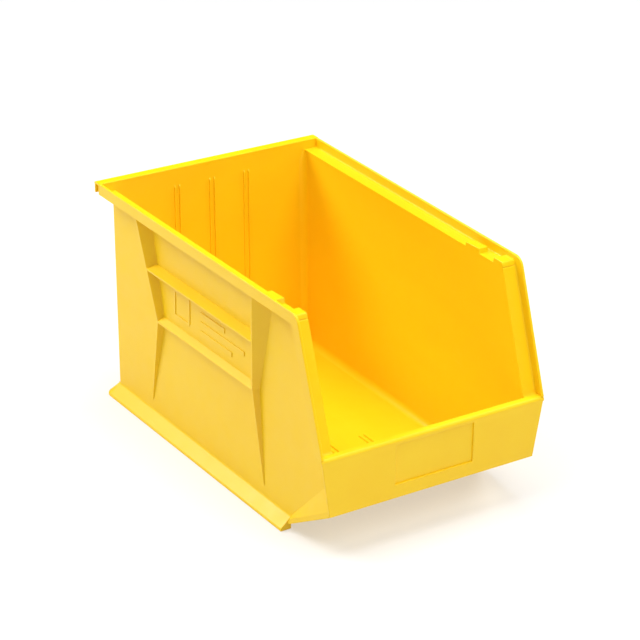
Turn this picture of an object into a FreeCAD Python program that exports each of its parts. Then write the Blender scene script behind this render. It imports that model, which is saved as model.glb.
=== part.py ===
"""Stackable storage bin: one injection moulding with a hopper front.

Millimetres, +Z up. The origin is on the floor, under the middle of the bin's box.
The front faces -Y. The two sides lean together a little towards the front, so every
piece of the left side is drawn in a straight frame of its own (x inwards from the
outer lip, y from the rear edge, z up) and then turned about Z. The right side is the
left side mirrored.
"""
import FreeCAD, Part
import math
import os

import Sketcher

DOC = FreeCAD.newDocument("StorageBin")
SHEET = DOC.addObject("Spreadsheet::Sheet", "Sizes")
NODES = []
ROW = [0]
SAME = 1e-4
ON_CREST = 1e-3
LONG_EDGE = 20.0


class Size:
    """A length with the sheet expression that drives it."""

    def __init__(self, text, value):
        self.text = text
        self.value = value

    def _join(self, sign, other, value, turned=False):
        other = as_size(other)
        first, second = (other, self) if turned else (self, other)
        return Size("(%s %s %s)" % (first.text, sign, second.text), value)

    def __add__(self, other):
        return self._join("+", other, self.value + as_size(other).value)

    def __radd__(self, other):
        return as_size(other) + self

    def __sub__(self, other):
        return self._join("-", other, self.value - as_size(other).value)

    def __rsub__(self, other):
        return as_size(other) - self

    def __mul__(self, other):
        return self._join("*", other, self.value * as_size(other).value)

    def __rmul__(self, other):
        return as_size(other) * self

    def __truediv__(self, other):
        return self._join("/", other, self.value / as_size(other).value)

    def __neg__(self):
        return 0 - self


def as_size(number):
    """A plain number as a Size, and a Size as itself."""
    return number if isinstance(number, Size) else Size(repr(float(number)), float(number))


def cell(alias, number):
    """Write one driving dimension into the sheet and return it as a Size."""
    ROW[0] += 1
    SHEET.set("A%d" % ROW[0], alias)
    SHEET.set("B%d" % ROW[0], repr(number))
    SHEET.setAlias("B%d" % ROW[0], alias)
    return Size("Sizes.%s" % alias, float(number))


# ---------------------------------------------------------------- driving dimensions
width = cell("overall_width", 279.4)
depth = cell("overall_depth", 450.0)
height = cell("overall_height", 254.0)
narrowing = cell("front_narrowing", 5.0)
wall = cell("wall_thickness", 2.5)
turn_room = cell("turned_side_room", 0.2)

lip_thickness = cell("lip_thickness", 3.0)
lip_height = cell("lip_height", 12.5)
ledge_width = cell("ledge_width", 15.7)
ledge_thickness = cell("ledge_thickness", 2.0)
ledge_toe = cell("ledge_toe", 2.0)
corner_radius = cell("rim_corner_radius", 13.0)
edge_round = cell("edge_rounding", 1.0)

slope_start = cell("front_slope_start", 401.5)
front_height = cell("front_height", 117.7)
front_bottom = cell("front_bottom_height", 51.7)
front_bottom_half = cell("front_bottom_half_width", 124.0)
front_thickness = cell("front_panel_thickness", 3.0)
front_flange_depth = cell("front_flange_depth", 9.0)
front_flange_thickness = cell("front_flange_thickness", 4.8)
front_flange_round = cell("front_flange_rounding", 3.6)
label_half = cell("label_recess_half_width", 47.0)
label_bottom = cell("label_recess_bottom", 67.0)
label_top = cell("label_recess_top", 111.0)
label_depth = cell("label_recess_depth", 1.8)
flare_lead = cell("flare_start_past_ramp", 4.0)
flare_rear_skirt = cell("flare_rear_skirt", 5.5)
flare_rear_crest = cell("flare_rear_crest", 10.0)
flare_front_skirt = cell("flare_front_skirt", 7.0)
flare_front_crest = cell("flare_front_crest", 41.0)

hook_gap_start = cell("hook_wall_setback", 9.0)
hook_lip = cell("hook_lip_thickness", 2.5)
hook_top = cell("hook_flange_thickness", 2.2)
back_lean = cell("back_wall_lean", 8.5)
back_corner = cell("back_corner_rounding", 2.2)

floor_bottom = cell("floor_underside", 6.0)
ramp_start = cell("ramp_start", 371.0)
cove = cell("inside_cove_radius", 8.0)
cove_setback = cell("cove_rear_setback", 0.3)

rail_inset = cell("rail_inset", 3.8)
rail_edge = cell("rail_edge_height", 2.8)
rail_top = cell("rail_top_height", 14.5)
rail_skin = cell("rail_skin_height", 3.6)
rail_front = cell("rail_front", 372.0)

gusset_edge = cell("gusset_edge_thickness", 2.2)
gusset_draft = cell("gusset_draft", 1.0)
gusset_foot = cell("gusset_foot_height", 27.0)
gusset_knee = cell("gusset_knee_height", 131.0)
rib_edge = cell("rib_edge_thickness", 2.0)
rib_rise = cell("rib_root_rise", 4.5)
rib_draft = cell("rib_draft", 0.5)
upper_rib = cell("upper_rib_height", 187.5)
lower_rib = cell("lower_rib_height", 131.5)
upper_rib_rear = cell("upper_rib_rear_end", 100.6)
upper_rib_front = cell("upper_rib_front_end", 310.6)
lower_rib_rear = cell("lower_rib_rear_end", 116.4)
lower_rib_front = cell("lower_rib_front_end", 307.0)
rear_foot_edge = cell("rear_gusset_foot_edge", 94.0)
rear_foot_root = cell("rear_gusset_foot_root", 94.5)
rear_knee_edge = cell("rear_gusset_knee_edge", 117.5)
rear_knee_root = cell("rear_gusset_knee_root", 120.0)
rear_crown_edge = cell("rear_gusset_crown_edge", 84.5)
rear_crown_root = cell("rear_gusset_crown_root", 95.0)
front_foot_edge = cell("front_gusset_foot_edge", 321.5)
front_foot_root = cell("front_gusset_foot_root", 322.0)
front_knee_edge = cell("front_gusset_knee_edge", 308.0)
front_knee_root = cell("front_gusset_knee_root", 311.0)
front_crown_edge = cell("front_gusset_crown_edge", 316.0)
front_crown_root = cell("front_gusset_crown_root", 336.0)

stop_start = cell("stop_inset", 7.5)
stop_rise = cell("stop_height", 5.5)
wedge_start = cell("wedge_start", 328.0)
wedge_end = cell("wedge_end", 353.0)
stop_draft = cell("stop_draft", 1.0)
nose_start = cell("nose_start", 377.0)
nose_round = cell("nose_front_rounding", 3.0)
divider_pitch = cell("divider_pitch", 44.2)
divider_gap = cell("divider_gap", 6.0)
divider_rib = cell("divider_rib_width", 1.6)
divider_proud = cell("divider_rib_height", 1.2)
divider_top = cell("divider_rib_top", 234.0)
divider_front = cell("floor_rib_start", 253.0)
mark_proud = cell("mark_height", 0.8)
badge_size = cell("badge_size", 33.0)
badge_frame = cell("badge_frame_width", 3.5)
badge_corner = cell("badge_corner_radius", 4.0)
badge_rear = cell("badge_rear_edge", 141.0)
badge_foot = cell("badge_foot_height", 146.0)
bar_height = cell("mark_bar_height", 5.0)
bar_pitch = cell("mark_bar_pitch", 10.5)
bar_rear = cell("mark_bar_rear_edge", 196.0)
low_bar = cell("low_mark_bar_length", 62.0)
middle_bar = cell("middle_mark_bar_length", 86.0)
high_bar = cell("high_mark_bar_length", 48.0)
DOC.recompute()

# ---------------------------------------------------------------- derived places
half = width / 2
ledge_top = height - lip_height + ledge_thickness
lip_bottom = height - lip_height
wall_out = lip_thickness + ledge_width - wall
wall_in = lip_thickness + ledge_width
floor_top = floor_bottom + wall
back_outer_top = -hook_gap_start
back_inner_top = -hook_gap_start - wall
slope_run = depth - slope_start
slope_drop = height - front_height
slope_length_value = (slope_run.value ** 2 + slope_drop.value ** 2) ** 0.5
slope_length = Size("sqrt(%s ^ 2 + %s ^ 2)" % (slope_run.text, slope_drop.text), slope_length_value)
down_y = -slope_run / slope_length
down_z = -slope_drop / slope_length
tangent = corner_radius * (slope_length - slope_run) / slope_drop
rim_end = -slope_start + tangent
panel_back = -depth + front_thickness
flange_inner = -depth + front_flange_depth
flange_bottom = front_height - front_flange_thickness
ramp_slope = (front_bottom - floor_bottom) / (depth - ramp_start)


def back_face(top, z):
    """The y of a face of the leaning back wall at height z."""
    return top - back_lean * (height - z) / height


def ramp_line(y):
    """The height of the ramp's underside at y, which is negative."""
    return floor_bottom + (-y - ramp_start) * ramp_slope


def slope_point(depth_in, z):
    """The point at height z on a line that runs depth_in behind the sloped front edge."""
    start_y = -slope_start - down_z * depth_in
    start_z = height + down_y * depth_in
    return start_y + (z - start_z) * down_y / down_z, z


def slope_start_point(depth_in):
    """The upper end of that line, where the rounded corner stops."""
    return -slope_start + down_y * tangent - down_z * depth_in, height + down_z * tangent + down_y * depth_in


# ---------------------------------------------------------------- building blocks
PLANE_TURN = {"XY_Plane": 1.0, "XZ_Plane": -1.0, "YZ_Plane": 1.0}


def body(label):
    made = DOC.addObject("PartDesign::Body", "Body_" + label)
    made.Label = label
    return made


def origin_plane(owner, role):
    for feature in owner.Origin.OriginFeatures:
        if feature.Role == role:
            return feature
    raise ValueError(role)


def sketch(owner, role, offset=0.0):
    """A sketch on one of the body's own planes, moved along the plane's world axis."""
    made = owner.newObject("Sketcher::SketchObject", owner.Name + "_sketch")
    made.AttachmentSupport = [(origin_plane(owner, role), "")]
    made.MapMode = "FlatFace"
    place = as_size(offset) * PLANE_TURN[role]
    made.AttachmentOffset = FreeCAD.Placement(FreeCAD.Vector(0, 0, place.value), FreeCAD.Rotation())
    made.setExpression("AttachmentOffset.Base.z", place.text)
    return made


def pin(made, geometry, end, x, y):
    """Hold one point of a sketch at x, y from the sketch's origin."""
    for kind, size in (("DistanceX", as_size(x)), ("DistanceY", as_size(y))):
        number = made.addConstraint(Sketcher.Constraint(kind, -1, 1, geometry, end, size.value))
        made.setExpression("Constraints[%d]" % number, size.text)


def draw(made, points):
    """Add a closed outline to a sketch; its corners are pairs of sizes."""
    spots = [FreeCAD.Vector(as_size(x).value, as_size(y).value, 0) for x, y in points]
    first = made.GeometryCount
    count = len(spots)
    for index in range(count):
        made.addGeometry(Part.LineSegment(spots[index], spots[(index + 1) % count]), False)
    for index in range(count):
        following = first + (index + 1) % count
        made.addConstraint(Sketcher.Constraint("Coincident", first + index, 2, following, 1))
    for index, (x, y) in enumerate(points):
        pin(made, first + index, 1, x, y)


def polygon(owner, role, points, offset=0.0):
    """A sketch that holds one closed outline."""
    made = sketch(owner, role, offset)
    draw(made, points)
    return made


def box_corners(low, high):
    return [low, (high[0], low[1]), high, (low[0], high[1])]


def rectangle(owner, role, low, high, offset=0.0):
    return polygon(owner, role, box_corners(low, high), offset)


def pad(owner, profile, length, symmetric=False):
    made = owner.newObject("PartDesign::Pad", owner.Name + "_pad")
    made.Profile = profile
    made.Length = as_size(length).value
    made.setExpression("Length", as_size(length).text)
    if symmetric:
        made.SideType = "Symmetric"
    owner.Tip = made
    return made


def loft(owner, profiles):
    made = owner.newObject("PartDesign::AdditiveLoft", owner.Name + "_loft")
    made.Profile = profiles[0]
    made.Sections = profiles[1:]
    made.Ruled = True
    owner.Tip = made
    return made


def edges_where(shape, test):
    """The names of the edges that pass the test."""
    return ["Edge%d" % (number + 1) for number, edge in enumerate(shape.Edges) if test(edge)]


def long_edges_at(height_of_edge):
    """A test for the long edges of a bar at one height."""
    level = height_of_edge.value
    return lambda edge: edge.Length > LONG_EDGE and all(abs(v.Z - level) < SAME for v in edge.Vertexes)


def rounded(owner, base, test, radius):
    """Fillet the edges that the test picks from the last feature."""
    DOC.recompute()
    made = owner.newObject("PartDesign::Fillet", owner.Name + "_round")
    made.Base = (base, edges_where(base.Shape, test))
    made.Radius = as_size(radius).value
    made.setExpression("Radius", as_size(radius).text)
    owner.Tip = made
    return made


def near(a, b):
    return abs(a - as_size(b).value) < SAME


def keep(node):
    """Count a finished piece, and move it so that the origin is under the box's middle."""
    node.setExpression("Placement.Base.y", (depth / 2).text)
    NODES.append(node)
    return node


def turn_to_side(node):
    """Put a piece that is drawn in the side's straight frame on the left side."""
    node.Placement = FreeCAD.Placement(FreeCAD.Vector(), FreeCAD.Rotation(FreeCAD.Vector(0, 0, 1), 1))
    node.setExpression("Placement.Base.x", (-half).text)
    node.setExpression("Placement.Base.y", (depth / 2).text)
    node.setExpression("Placement.Rotation.Angle", "atan(%s / %s)" % (narrowing.text, depth.text))


def both_sides(node, name):
    """Keep the left piece in its place and add its mirror image as the right one."""
    turn_to_side(node)
    mirror_piece(node, name)


def mirror_piece(node, name):
    node.Label = "left_" + name
    NODES.append(node)
    twin = DOC.addObject("Part::Mirroring", "Mirror_" + name)
    twin.Label = "right_" + name
    twin.Source = node
    twin.Normal = FreeCAD.Vector(1, 0, 0)
    NODES.append(twin)


# ---------------------------------------------------------------- tub
def floor_panel():
    made = body("floor_panel")
    rear = back_face(back_inner_top, floor_bottom)
    corners = []
    for sign in (-1, 1):
        for y in (rear, -ramp_start):
            inner = (half - wall_in + y * narrowing / depth) * sign
            corners.append((inner, y))
    outline = polygon(made, "XY_Plane", [corners[0], corners[1], corners[3], corners[2]], floor_bottom)
    pad(made, outline, wall)
    return keep(made)


def floor_ramp():
    """The floor's front end, which climbs to the foot of the front panel."""
    made = body("floor_ramp")
    sections = []
    for y in (-ramp_start, panel_back):
        inner = half - wall_in + y * narrowing / depth
        low = ramp_line(y)
        sections.append(rectangle(made, "XZ_Plane", (-inner, low), (inner, low + wall), y))
    loft(made, sections)
    return keep(made)


def wall_slab(owner, low, length):
    """The back wall from height low up to the hanger."""
    top = height - hook_top
    corners = [
        (back_face(back_outer_top, low), low),
        (back_face(back_outer_top, top), top),
        (back_face(back_inner_top, top), top),
        (back_face(back_inner_top, low), low),
    ]
    return pad(owner, polygon(owner, "YZ_Plane", corners), length, symmetric=True)


def back_wall():
    """The wall leans, and widens to the full width above the stacking ledges."""
    made = body("back_wall")
    length = (half - wall_out - turn_room) * 2
    slab = wall_slab(made, floor_bottom, length)
    rear = (back_inner_top + turn_room).value

    def upright_rear(edge):
        ends = [vertex.X for vertex in edge.Vertexes]
        tall = edge.BoundBox.ZLength > length.value / 2
        return tall and edge.BoundBox.YMax > rear and all(near(abs(x), length / 2) for x in ends)

    rounded(made, slab, upright_rear, back_corner)
    wall_slab(made, lip_bottom, width)
    return keep(made)


def side_wall():
    made = body("left_side_wall")
    corners = [
        (back_face(back_inner_top, floor_bottom) - turn_room, floor_bottom),
        (back_face(back_inner_top, lip_bottom) - turn_room, lip_bottom),
        slope_point(lip_height, lip_bottom),
        slope_point(lip_height, flange_bottom),
        (panel_back, flange_bottom),
        (panel_back, ramp_line(panel_back)),
        (-ramp_start, floor_bottom),
    ]
    plate = pad(made, polygon(made, "YZ_Plane", corners, wall_out), wall)
    corner_y = corners[2][0].value

    def at_corner(edge):
        return all(near(v.Y, corner_y) and near(v.Z, lip_bottom) for v in edge.Vertexes)

    rounded(made, plate, at_corner, corner_radius - lip_height)
    both_sides(made, "side_wall")


# ---------------------------------------------------------------- rim
def rim_band(name, start, shallow, deep, inset, thickness, toe):
    """A band behind the top edge, that turns the corner and runs down the sloped front edge.

    It ends against the inner edge of the front flange with a toe that high, which falls
    a quarter of its height below the flange's top.
    """
    made = body("left_" + name)
    outline = sketch(made, "YZ_Plane", inset)
    centre = (rim_end, height - corner_radius)
    corners = [
        (start, height - shallow),
        (rim_end, height - shallow),
        slope_start_point(shallow),
        slope_point(shallow, front_height + toe),
        (flange_inner, front_height - toe / 4),
        (flange_inner, flange_bottom),
        slope_point(deep, flange_bottom),
        slope_start_point(deep),
        (rim_end, height - deep),
        (start, height - deep),
    ]
    spots = [FreeCAD.Vector(y.value, z.value, 0) for y, z in corners]
    middle = FreeCAD.Vector(centre[0].value, centre[1].value, 0)
    turn_start = math.atan2(spots[2].y - middle.y, spots[2].x - middle.x)
    ends = {1: (1, 2), 7: (2, 1)}
    for index in range(len(spots)):
        following = spots[(index + 1) % len(spots)]
        if index in ends:
            circle = Part.Circle(middle, FreeCAD.Vector(0, 0, 1), spots[index].distanceToPoint(middle))
            outline.addGeometry(Part.ArcOfCircle(circle, math.pi / 2, turn_start), False)
        else:
            outline.addGeometry(Part.LineSegment(spots[index], following), False)
    for index in range(len(spots)):
        following = (index + 1) % len(spots)
        last = ends.get(index, (1, 2))[1]
        first = ends.get(following, (1, 2))[0]
        outline.addConstraint(Sketcher.Constraint("Coincident", index, last, following, first))
    for index, (y, z) in enumerate(corners):
        pin(outline, index, ends.get(index, (1, 2))[0], y, z)
    for index, radius in ((1, corner_radius - shallow), (7, corner_radius - deep)):
        number = outline.addConstraint(Sketcher.Constraint("Radius", index, radius.value))
        outline.setExpression("Constraints[%d]" % number, radius.text)
    band = pad(made, outline, thickness)
    return made, band


def rim():
    nothing = as_size(0)
    start = back_inner_top - turn_room
    lip, band = rim_band("outer_lip", start, nothing, lip_height, nothing, lip_thickness, nothing)
    centre = FreeCAD.Vector(0, rim_end.value, (height - corner_radius).value)

    def on_crest(edge):
        spans = [vertex.Point for vertex in edge.Vertexes]
        return edge.BoundBox.XLength < SAME and all(crest_depth(spot) < ON_CREST for spot in spans)

    def crest_depth(spot):
        """How far a point lies behind the outer edge of the rim."""
        if spot.y >= centre.y:
            return height.value - spot.z
        along = (spot.y + slope_start.value) * down_z.value - (spot.z - height.value) * down_y.value
        return min(abs(along), abs(corner_radius.value - math.hypot(spot.y - centre.y, spot.z - centre.z)))

    rounded(lip, band, on_crest, edge_round)
    both_sides(lip, "outer_lip")
    start = back_face(back_inner_top, lip_bottom) - turn_room
    shallow = lip_height - ledge_thickness
    ledge, _ = rim_band("stacking_ledge", start, shallow, lip_height, lip_thickness, ledge_width, ledge_toe)
    both_sides(ledge, "stacking_ledge")


def stack_stop(made, inset, corners):
    """A block on the stacking ledge, from inset to the wall's inner face."""
    return pad(made, polygon(made, "YZ_Plane", corners, inset), wall_in - inset)


def stack_stops():
    """A wedge that fits inside the rail of the bin above, and a nose in front of that rail."""
    crest = ledge_top + stop_rise
    wedge = body("left_stacking_wedge")
    stack_stop(wedge, stop_start, [
        (-wedge_start, ledge_top),
        (-wedge_start - stop_draft, crest - stop_draft),
        (-wedge_end + stop_draft, crest),
        (-wedge_end, ledge_top),
    ])
    both_sides(wedge, "stacking_wedge")
    shallow = lip_height - ledge_thickness
    nose = body("left_stacking_nose")
    tip = slope_point(shallow, crest)
    block = stack_stop(nose, lip_thickness, [
        (-nose_start, ledge_top),
        (-nose_start - stop_draft, crest),
        tip,
        slope_point(shallow, ledge_top),
    ])

    def at_tip(edge):
        return all(near(v.Y, tip[0]) and near(v.Z, tip[1]) for v in edge.Vertexes)

    rounded(nose, block, at_tip, nose_round)
    both_sides(nose, "stacking_nose")


# ---------------------------------------------------------------- hanger
def hanger():
    """The rolled rear edge that hangs over a louvre or a rail."""
    flange = body("hanger_flange")
    top = height - hook_top
    rear = back_face(back_inner_top, top)
    bar = pad(flange, rectangle(flange, "YZ_Plane", (rear, top), (as_size(0), height)), width, symmetric=True)
    rounded(flange, bar, long_edges_at(height), edge_round)
    keep(flange)
    lip = body("hanger_lip")
    pad(lip, rectangle(lip, "YZ_Plane", (-hook_lip, lip_bottom), (as_size(0), top)), width, symmetric=True)
    keep(lip)


# ---------------------------------------------------------------- front
def front_panel():
    made = body("front_panel")
    front_half = half - narrowing
    spread = (front_half - front_bottom_half) / (front_height - front_bottom)
    top_half = front_half - spread * front_flange_thickness
    corners = [
        (-front_bottom_half, front_bottom),
        (front_bottom_half, front_bottom),
        (top_half, flange_bottom),
        (-top_half, flange_bottom),
    ]
    pad(made, polygon(made, "XZ_Plane", corners, panel_back), front_thickness)
    DOC.recompute()
    recess = made.newObject("PartDesign::Pocket", "LabelRecess")
    recess.Profile = rectangle(made, "XZ_Plane", (-label_half, label_bottom), (label_half, label_top), -depth)
    recess.Length = label_depth.value
    recess.setExpression("Length", label_depth.text)
    made.Tip = recess
    return keep(made)


def front_flange():
    made = body("front_flange")
    low = (-depth, flange_bottom)
    high = (-depth + front_flange_depth, front_height)
    bar = pad(made, rectangle(made, "YZ_Plane", low, high), (half - narrowing) * 2, symmetric=True)
    long_and_high = long_edges_at(front_height)

    def front_top(edge):
        return long_and_high(edge) and near(edge.BoundBox.YMax, -depth)

    def rear_top(edge):
        return long_and_high(edge) and near(edge.BoundBox.YMin, flange_inner)

    nosed = rounded(made, bar, front_top, front_flange_round)
    rounded(made, nosed, rear_top, edge_round)
    return keep(made)


def corner_flare():
    """The lower front corner, where the side spreads out to the edge of the front panel."""
    made = body("left_corner_flare")
    outer = half - narrowing - front_bottom_half
    start = -ramp_start - flare_lead
    sections = []
    ends = (
        (start, flare_rear_skirt, flare_rear_crest),
        (panel_back, flare_front_skirt, flare_front_crest),
    )
    for y, skirt, crest in ends:
        low = ramp_line(y)
        corners = [(wall_out, low), (outer, low), (outer, low + skirt), (wall_out, low + crest)]
        sections.append(polygon(made, "XZ_Plane", corners, y))
    loft(made, sections)
    both_sides(made, "corner_flare")


# ---------------------------------------------------------------- base
def rail_outline(outer, inner):
    """The skirt's section: an upright edge under a sloped skin, from outer to the wall at inner."""
    step = 1 if outer.value < inner.value else -1
    rise = (rail_top - rail_edge) / (inner - outer) * step
    return [
        (outer, as_size(0)),
        (outer, rail_edge),
        (inner, rail_top),
        (inner, rail_top - rail_skin),
        (outer + wall * step, rail_edge + wall * rise - rail_skin),
        (outer + wall * step, as_size(0)),
    ]


def base():
    side = body("left_base_rail")
    rear_y = back_face(back_outer_top, rail_top)
    pad(side, polygon(side, "XZ_Plane", rail_outline(rail_inset, wall_out), rear_y), rail_front + rear_y)
    both_sides(side, "base_rail")
    reach = wall_out - rail_inset
    rear = body("rear_base_rail")
    rear_width = (half - wall_out - turn_room) * 2
    pad(rear, polygon(rear, "YZ_Plane", rail_outline(rear_y + reach, rear_y)), rear_width, symmetric=True)
    keep(rear)
    corner = body("left_base_corner")
    profile = polygon(corner, "XZ_Plane", rail_outline(-reach, as_size(0)), rear_y)
    profile.setExpression("AttachmentOffset.Base.x", wall_out.text)
    turned = corner.newObject("PartDesign::Revolution", "BaseCornerTurn")
    turned.Profile = profile
    turned.ReferenceAxis = (profile, ["V_Axis"])
    turned.Angle = 90
    turned.Reversed = True
    corner.Tip = turned
    both_sides(corner, "base_corner")
    cap = body("left_rail_end")
    section = rail_outline(rail_inset, wall_out)
    inner = [section[5], section[4], section[3], (wall_out, as_size(0))]
    pad(cap, polygon(cap, "XZ_Plane", inner, -rail_front + wall), wall)
    both_sides(cap, "rail_end")


# ---------------------------------------------------------------- side stiffening
def gusset_inset(z):
    """How far in the stiffeners' outer edges lie at height z: flush with the lip at the top."""
    taper = (wall_out - mark_proud - lip_thickness) / (lip_bottom - gusset_foot)
    return lip_thickness + (lip_bottom - z) * taper


def gusset(name, stations):
    """An upright web: at each height, the places of its outer edge and of its root."""
    made = body("left_" + name)
    sections = []
    for z, edge, root in stations:
        x = gusset_inset(z)
        rear = gusset_edge - edge
        corners = [(x, -edge), (x, rear), (wall_out, rear + gusset_draft), (wall_out, -root)]
        sections.append(polygon(made, "XY_Plane", corners, z))
    loft(made, sections)
    both_sides(made, name)
    return made


def side_rib(name, top, start, end, webs):
    """A shelf-like rib between the two webs, trimmed to their faces."""
    blank = body("blank_" + name)
    x = gusset_inset(top)
    low = top - rib_edge
    corners = [(x, low), (wall_out, low - rib_draft), (wall_out, top + rib_rise), (x, top)]
    pad(blank, polygon(blank, "XZ_Plane", corners, -start), end - start)
    turn_to_side(blank)
    trimmed = blank
    for number, web in enumerate(webs):
        cut = DOC.addObject("Part::Cut", "Trim%d_%s" % (number, name))
        cut.Base = trimmed
        cut.Tool = web
        trimmed = cut
    mirror_piece(trimmed, name)


def stiffening():
    rear = gusset("rear_gusset", [
        (gusset_foot, rear_foot_edge, rear_foot_root),
        (gusset_knee, rear_knee_edge, rear_knee_root),
        (lip_bottom, rear_crown_edge, rear_crown_root),
    ])
    front = gusset("front_gusset", [
        (gusset_foot, front_foot_edge, front_foot_root),
        (gusset_knee, front_knee_edge, front_knee_root),
        (lip_bottom, front_crown_edge, front_crown_root),
    ])
    side_rib("upper_side_rib", upper_rib, upper_rib_rear, upper_rib_front, (rear, front))
    side_rib("lower_side_rib", lower_rib, lower_rib_rear, lower_rib_front, (rear, front))


# ---------------------------------------------------------------- inside details
def coves():
    """The soft inside corners between floor, back and sides."""
    rear = back_face(back_inner_top, floor_top)
    start = rear - cove_setback
    side = body("left_floor_cove")
    cove_pad(side, "XZ_Plane", (wall_in, floor_top), (1, 1), start, ramp_start + start)
    both_sides(side, "floor_cove")
    back = body("rear_floor_cove")
    length = (half - wall_in - cove) * 2
    cove_pad(back, "YZ_Plane", (rear, floor_top), (-1, 1), 0, length, symmetric=True)
    keep(back)


def cove_pad(owner, role, corner, way, start, length, symmetric=False):
    """A bar that fills a right-angled corner up to a quarter-circle hollow."""
    outline = sketch(owner, role, start)
    x, y = corner
    far_x = x + cove * way[0]
    far_y = y + cove * way[1]
    ends = ((x, y), (far_x, y), (x, far_y))
    spot = [FreeCAD.Vector(as_size(a).value, as_size(b).value, 0) for a, b in ends]
    centre = FreeCAD.Vector(far_x.value, far_y.value, 0)
    outline.addGeometry(Part.LineSegment(spot[0], spot[1]), False)
    outline.addGeometry(Part.LineSegment(spot[2], spot[0]), False)
    turn = math.pi if way[0] > 0 else math.pi * 1.5
    circle = Part.Circle(centre, FreeCAD.Vector(0, 0, 1), cove.value)
    outline.addGeometry(Part.ArcOfCircle(circle, turn, turn + math.pi / 2), False)
    first, last = (2, 1) if way[0] > 0 else (1, 2)
    outline.addConstraint(Sketcher.Constraint("Coincident", 0, 1, 1, 2))
    outline.addConstraint(Sketcher.Constraint("Coincident", 0, 2, 2, first))
    outline.addConstraint(Sketcher.Constraint("Coincident", 1, 1, 2, last))
    pin(outline, 0, 1, x, y)
    pin(outline, 2, 3, far_x, far_y)
    pin(outline, 0, 2, far_x, y)
    pad(owner, outline, length, symmetric)


def rib_pair(name, centre, outline):
    """Two low ribs, a divider's thickness apart."""
    made = body(name)
    start = centre - divider_gap / 2 - divider_rib / 2
    pad(made, polygon(made, "YZ_Plane", outline, start), divider_rib)
    DOC.recompute()
    pair = made.newObject("PartDesign::LinearPattern", name + "_pair")
    pair.Originals = [made.Tip]
    pair.Direction = (origin_plane(made, "X_Axis"), [""])
    pair.Occurrences = 2
    pair.setExpression("Length", divider_gap.text)
    made.Tip = pair
    return keep(made)


def dividers():
    foot = floor_top + cove
    face = [(back_face(back_inner_top, z), z) for z in (foot, divider_top)]
    back_outline = face + [(y - divider_proud, z) for y, z in reversed(face)]
    floor_outline = [
        (-divider_front, floor_top),
        (-ramp_start, floor_top),
        (-ramp_start, floor_top + divider_proud),
        (-divider_front - divider_proud, floor_top + divider_proud),
    ]
    for name, step in (("left", -1), ("middle", 0), ("right", 1)):
        rib_pair(name + "_back_rib_pair", divider_pitch * step, back_outline)
        rib_pair(name + "_floor_rib_pair", divider_pitch * step, floor_outline)


def marks():
    """Plain raised marks on the left side: a square frame and rows of bars."""
    outer = wall_out - mark_proud
    frame = body("left_badge_frame")
    outline = sketch(frame, "YZ_Plane", outer)
    front = -badge_rear - badge_size
    top = badge_foot + badge_size
    draw(outline, box_corners((front, badge_foot), (-badge_rear, top)))
    inner_low = (front + badge_frame, badge_foot + badge_frame)
    draw(outline, box_corners(inner_low, (-badge_rear - badge_frame, top - badge_frame)))
    plate = pad(frame, outline, mark_proud)

    def outer_corner(edge):
        place = edge.Vertexes[0].Y
        crosswise = edge.BoundBox.YLength < SAME and edge.BoundBox.ZLength < SAME
        return crosswise and (near(place, front) or near(place, -badge_rear))

    rounded(frame, plate, outer_corner, badge_corner)
    bars = body("left_mark_bars")
    rows = sketch(bars, "YZ_Plane", outer)
    for row, length in enumerate((low_bar, middle_bar, high_bar)):
        low = badge_foot + bar_pitch * row
        draw(rows, box_corners((-bar_rear - length, low), (-bar_rear, low + bar_height)))
    pad(bars, rows, mark_proud)
    for made in (frame, bars):
        turn_to_side(made)
        NODES.append(made)


floor_panel()
floor_ramp()
back_wall()
side_wall()
rim()
stack_stops()
hanger()
front_panel()
front_flange()
corner_flare()
base()
stiffening()
coves()
dividers()
marks()
DOC.recompute()

# ---------------------------------------------------------------- check and write
for item in DOC.Objects:
    if "Invalid" in item.State or "Error" in item.State:
        raise RuntimeError("%s did not compute: %s" % (item.Label, item.State))
for node in NODES:
    if node.Shape.isNull() or not node.Shape.isValid() or not node.Shape.Solids:
        raise RuntimeError("%s has no valid solid" % node.Label)

os.makedirs("parts", exist_ok=True)
for node in NODES:
    node.Shape.exportStep("parts/%s.step" % node.Label)
    print(node.Label, len(node.Shape.Solids), round(node.Shape.Volume / 1000, 2))
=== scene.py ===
"""Finish of a yellow stackable storage bin with an open hopper front.

Metres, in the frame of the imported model: +Z up, the front faces -Y. The bin is one
plastic moulding, so every free edge is rounded, every inside corner is filled to a soft
radius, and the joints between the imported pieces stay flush.
"""
import math

import bmesh
import bpy
from bpy.props import FloatProperty, FloatVectorProperty, IntProperty, PointerProperty
from mathutils import Matrix, Vector
from mathutils.bvhtree import BVHTree


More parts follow.
